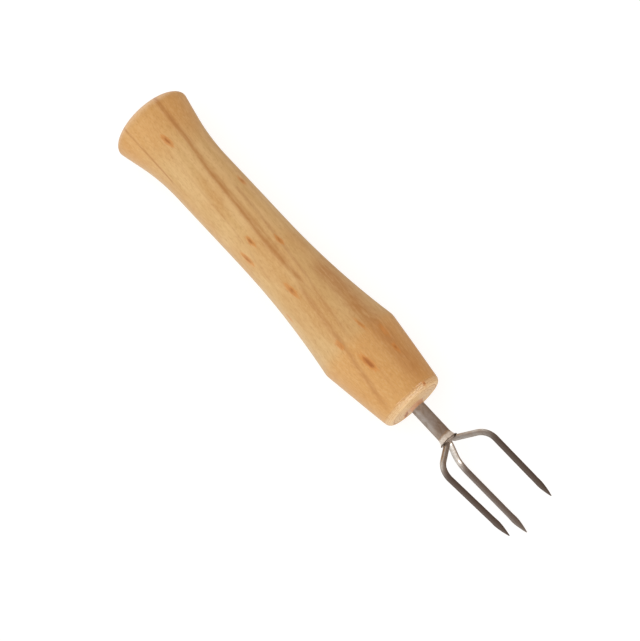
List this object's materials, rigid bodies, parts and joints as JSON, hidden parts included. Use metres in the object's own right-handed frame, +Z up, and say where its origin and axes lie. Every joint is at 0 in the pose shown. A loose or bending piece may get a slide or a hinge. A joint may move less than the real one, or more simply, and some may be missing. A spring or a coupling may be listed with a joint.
{
  "type": "uncapping fork",
  "caption": "Beekeeper's uncapping fork: turned wooden handle with a flared butt, thin steel tube shank and bent wire prongs set in a triangle.",
  "frame": {"origin": "middle of the box that holds the tool, on the surface that it lies on", "axes": "+X along the tool from the butt to the prongs, +Z up from the surface that the tool lies on"},
  "size_m": [0.1922, 0.0298, 0.0299],
  "materials": {
    "wood": "pale fruitwood or alder under satin clear varnish",
    "glue": "clear amber epoxy",
    "tube_steel": "drawn stainless, lightly heat-tinted",
    "prong_steel": "drawn stainless wire, ground points",
    "braze": "silver braze, cleaned, matt"
  },
  "bodies": {
    "root": {"handle": "wood", "glue_line": "glue", "shank_tube": "tube_steel", "prong_right": "prong_steel", "prong_left": "prong_steel", "prong_lower": "prong_steel", "braze_fill": "braze", "braze_collar": "braze"}
  },
  "joints": []
}
